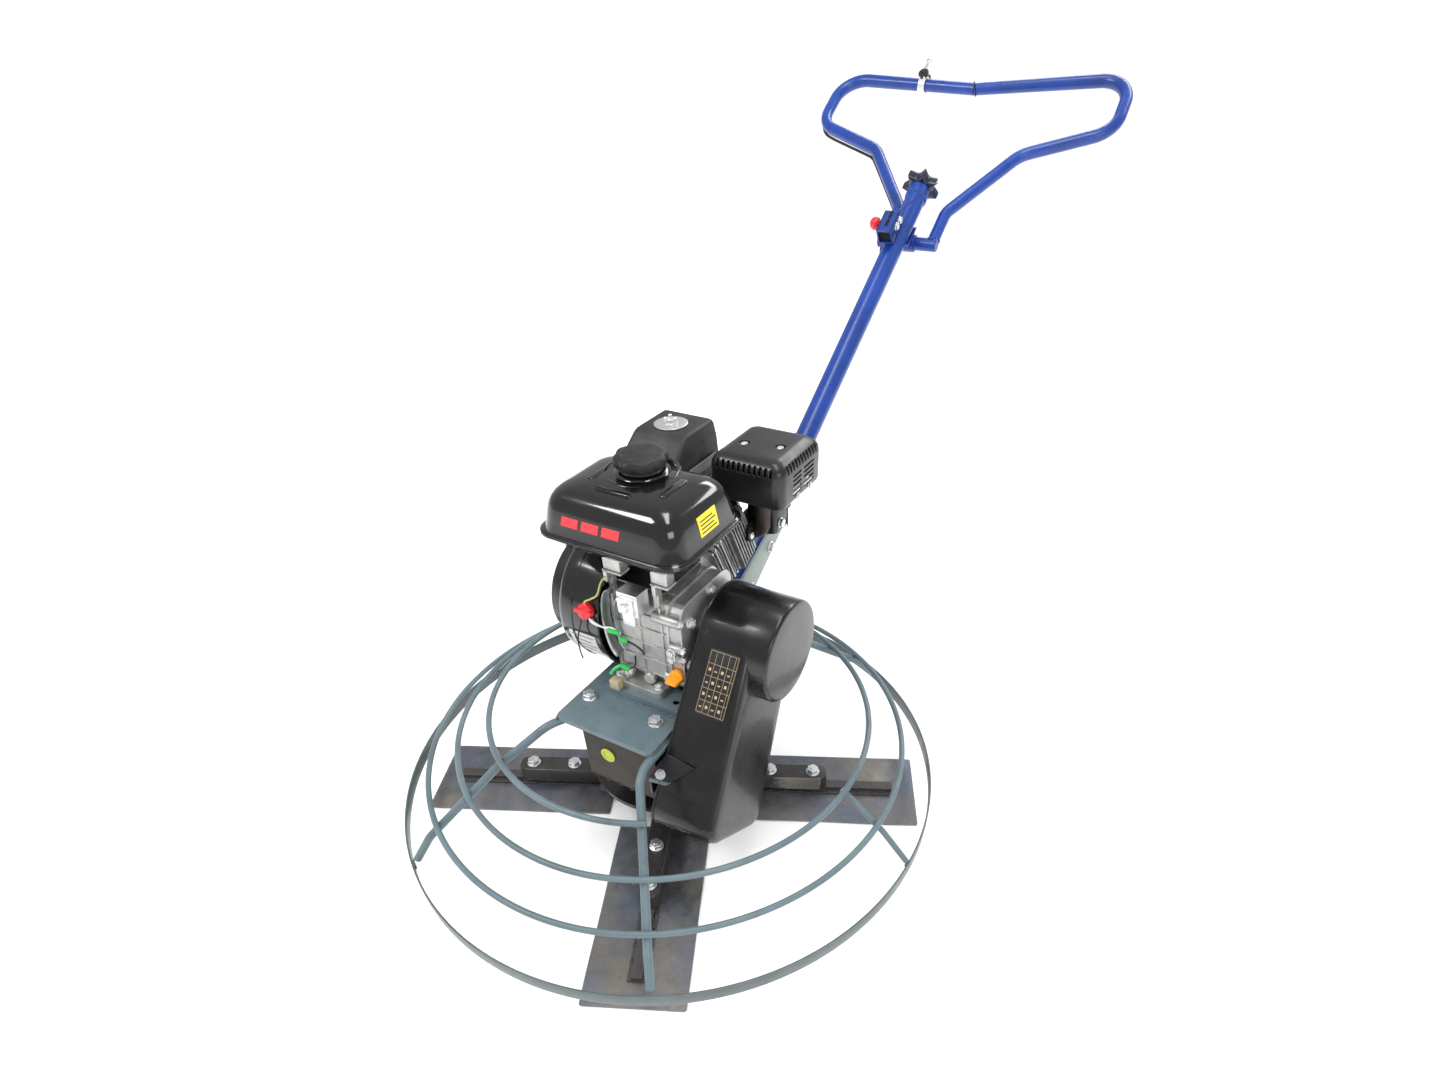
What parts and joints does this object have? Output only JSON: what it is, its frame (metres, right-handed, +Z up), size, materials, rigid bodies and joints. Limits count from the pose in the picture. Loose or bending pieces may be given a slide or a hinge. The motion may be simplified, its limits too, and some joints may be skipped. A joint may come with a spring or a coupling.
{
  "type": "walk-behind power trowel",
  "caption": "Walk-behind power trowel: petrol engine on a ring guard, belt and worm drive, pitching rotor blades and a folding handlebar on a sloping tube.",
  "frame": {"origin": "on the floor, under the rotor axis", "axes": "+X to the belt side, +Y to the operator along the handle, +Z up"},
  "size_m": [0.9619, 1.8807, 1.0302],
  "materials": {
    "guard_paint": "satin blue-grey paint, scuffed",
    "cast_iron_box": "rough dark casting with rust",
    "sight_glass": "yellow-green",
    "bearing_steel": "ground",
    "black_plastic": "satin black",
    "black_steel": "satin black",
    "black_gloss": "gloss black",
    "zinc_bolts": "zinc plated",
    "engine_alloy": "cast, grey",
    "dark_steel": "heat darkened",
    "zinc_plate": "zinc plated sheet",
    "handle_blue": "gloss royal blue",
    "belt_rubber": "matt",
    "cable_black": "outer sheath",
    "bronze": "machined bronze",
    "shaft_steel": "machined",
    "blade_steel": "worn blue-grey steel",
    "knob_navy": "dark blue",
    "red_plastic": "red",
    "orange_plastic": "yellow-orange",
    "flywheel_iron": "cast"
  },
  "bodies": {
    "frame": {"guard_band": "guard_paint", "guard_rings": "guard_paint", "guard_spokes": "guard_paint", "engine_plate": "guard_paint", "gearbox_housing": "cast_iron_box", "gearbox_cover": "cast_iron_box", "sight_plug": "sight_glass", "gearbox_bearings": "bearing_steel", "belt_guard": "black_plastic", "belt_guard_back": "black_steel", "frame_bolts": "zinc_bolts", "crankcase": "engine_alloy", "side_cover": "engine_alloy", "cylinder_head": "engine_alloy", "fan_cover": "black_steel", "recoil_housing": "black_steel", "fuel_tank": "black_gloss", "air_cleaner_base": "black_plastic", "air_cleaner_cover": "black_plastic", "carburettor": "engine_alloy", "muffler": "dark_steel", "muffler_shield": "black_steel", "spark_plug": "black_plastic", "control_bracket": "zinc_plate", "handle_bracket": "guard_paint", "handle_tube": "handle_blue", "pivot_bracket": "black_steel", "throttle_cable": "cable_black", "pitch_cable": "cable_black", "drive_belt": "belt_rubber"},
    "rotor": {"output_shaft": "shaft_steel", "worm_wheel": "bronze", "spider_hub": "black_steel"},
    "arm_1": {"arm_1": "black_steel", "blade_1": "blade_steel"},
    "arm_2": {"arm_2": "black_steel", "blade_2": "blade_steel"},
    "arm_3": {"arm_3": "black_steel", "blade_3": "blade_steel"},
    "arm_4": {"arm_4": "black_steel", "blade_4": "blade_steel"},
    "pressure_plate": {"pressure_plate": "shaft_steel"},
    "lift_yoke": {"lift_yoke": "black_steel"},
    "worm": {"worm_shaft": "shaft_steel", "input_pulley": "black_steel"},
    "clutch_drum": {"clutch_drum": "shaft_steel"},
    "crank": {"crankshaft": "shaft_steel", "flywheel": "flywheel_iron", "clutch_hub": "dark_steel"},
    "star_knob": {"star_knob": "knob_navy"},
    "handle_loop": {"handle_loop": "handle_blue"},
    "throttle_lever": {"throttle_lever": "black_plastic"},
    "lock_lever": {"lock_lever": "red_plastic"},
    "stop_switch": {"stop_switch": "red_plastic"},
    "fuel_cap": {"fuel_cap": "black_plastic"},
    "dipstick": {"dipstick": "orange_plastic"},
    "choke_lever": {"choke_lever": "black_plastic"},
    "fuel_valve_lever": {"fuel_valve_lever": "black_plastic"},
    "control_lever": {"control_lever": "zinc_plate"},
    "recoil_grip": {"recoil_grip": "black_plastic"}
  },
  "joints": [
    {"name": "rotor_spin", "type": "hinge", "parent": "frame", "child": "rotor", "pos_m": [0, 0, 0.15], "axis": [0, 0, 1], "continuous": true},
    {"name": "worm_spin", "type": "hinge", "parent": "frame", "child": "worm", "pos_m": [0, -0.086, 0.208], "axis": [1, 0, 0], "continuous": true},
    {"name": "drum_spin", "type": "hinge", "parent": "frame", "child": "clutch_drum", "pos_m": [0.139, 0.022, 0.41], "axis": [1, 0, 0], "continuous": true},
    {"name": "crank_spin", "type": "hinge", "parent": "frame", "child": "crank", "pos_m": [0, 0.022, 0.41], "axis": [1, 0, 0], "continuous": true},
    {"name": "pitch_knob_turn", "type": "hinge", "parent": "frame", "child": "star_knob", "pos_m": [0, 1.06245, 0.82653], "axis": [0, 0.8358, 0.549], "range_deg": [0, 1980]},
    {"name": "blade_pitch_1", "type": "hinge", "parent": "rotor", "child": "arm_1", "pos_m": [0, 0, 0.033], "axis": [-0.8988, -0.4384, 0], "range_deg": [0, 20]},
    {"name": "blade_pitch_2", "type": "hinge", "parent": "rotor", "child": "arm_2", "pos_m": [0, 0, 0.033], "axis": [0.4384, -0.8988, 0], "range_deg": [0, 20]},
    {"name": "blade_pitch_3", "type": "hinge", "parent": "rotor", "child": "arm_3", "pos_m": [0, 0, 0.033], "axis": [0.8988, 0.4384, 0], "range_deg": [0, 20]},
    {"name": "blade_pitch_4", "type": "hinge", "parent": "rotor", "child": "arm_4", "pos_m": [0, 0, 0.033], "axis": [-0.4384, 0.8988, 0], "range_deg": [0, 20]},
    {"name": "pressure_plate_lift", "type": "slide", "parent": "rotor", "child": "pressure_plate", "axis": [0, 0, -1], "range_m": [0, 0.017]},
    {"name": "yoke_tilt", "type": "hinge", "parent": "frame", "child": "lift_yoke", "pos_m": [0, 0.1, 0.111], "axis": [1, 0, 0], "range_deg": [0, 9.5]},
    {"name": "handle_fold", "type": "hinge", "parent": "frame", "child": "handle_loop", "pos_m": [0, 1.0014, 0.74097], "axis": [1, 0, 0], "range_deg": [-15, 140], "deforming": ["throttle_cable"]},
    {"name": "fold_lock_pull", "type": "slide", "parent": "handle_loop", "child": "lock_lever", "axis": [-1, 0, 0], "range_m": [0, 0.012], "stiffness_N_per_m": 400, "springref_m": -0.004},
    {"name": "throttle_turn", "type": "hinge", "parent": "handle_loop", "child": "throttle_lever", "pos_m": [-0.124, 1.36457, 1.00046], "axis": [0, -0.549, 0.8358], "range_deg": [0, 60], "deforming": ["throttle_cable"]},
    {"name": "engine_throttle_turn", "type": "hinge", "parent": "frame", "child": "control_lever", "pos_m": [-0.014, 0.024, 0.486], "axis": [0, 0, 1], "range_deg": [0, 30]},
    {"name": "stop_switch_turn", "type": "hinge", "parent": "frame", "child": "stop_switch", "pos_m": [-0.056, -0.08499, 0.44476], "axis": [0, -0.9511, 0.309], "range_deg": [0, 45]},
    {"name": "fuel_cap_turn", "type": "hinge", "parent": "frame", "child": "fuel_cap", "pos_m": [-0.006, 0.026, 0.646], "axis": [0, 0, 1], "range_deg": [0, 90]},
    {"name": "dipstick_turn", "type": "hinge", "parent": "frame", "child": "dipstick", "pos_m": [0.084, -0.0563, 0.348], "axis": [0, -1, 0], "range_deg": [0, 1080]},
    {"name": "choke_turn", "type": "hinge", "parent": "frame", "child": "choke_lever", "pos_m": [-0.0862, 0.16, 0.498], "axis": [1, 0, 0], "range_deg": [0, 50]},
    {"name": "fuel_valve_turn", "type": "hinge", "parent": "frame", "child": "fuel_valve_lever", "pos_m": [-0.0862, 0.16, 0.48], "axis": [-1, 0, 0], "range_deg": [0, 60]},
    {"name": "starter_pull", "type": "slide", "parent": "frame", "child": "recoil_grip", "axis": [0, 0.8192, 0.5736], "range_m": [0, 0.085], "stiffness_N_per_m": 25, "springref_m": -0.05}
  ],
  "couplings": [
    {"joint": "worm_spin", "follows": "rotor_spin", "ratio": 36},
    {"joint": "drum_spin", "follows": "rotor_spin", "ratio": 49.6},
    {"joint": "blade_pitch_1", "follows": "pitch_knob_turn", "ratio": 0.0101},
    {"joint": "blade_pitch_2", "follows": "pitch_knob_turn", "ratio": 0.0101},
    {"joint": "blade_pitch_3", "follows": "pitch_knob_turn", "ratio": 0.0101},
    {"joint": "blade_pitch_4", "follows": "pitch_knob_turn", "ratio": 0.0101},
    {"joint": "pressure_plate_lift", "follows": "pitch_knob_turn", "m_per_rad": 0.00049},
    {"joint": "yoke_tilt", "follows": "pitch_knob_turn", "ratio": 0.00479},
    {"joint": "engine_throttle_turn", "follows": "throttle_turn", "ratio": 0.5}
  ]
}
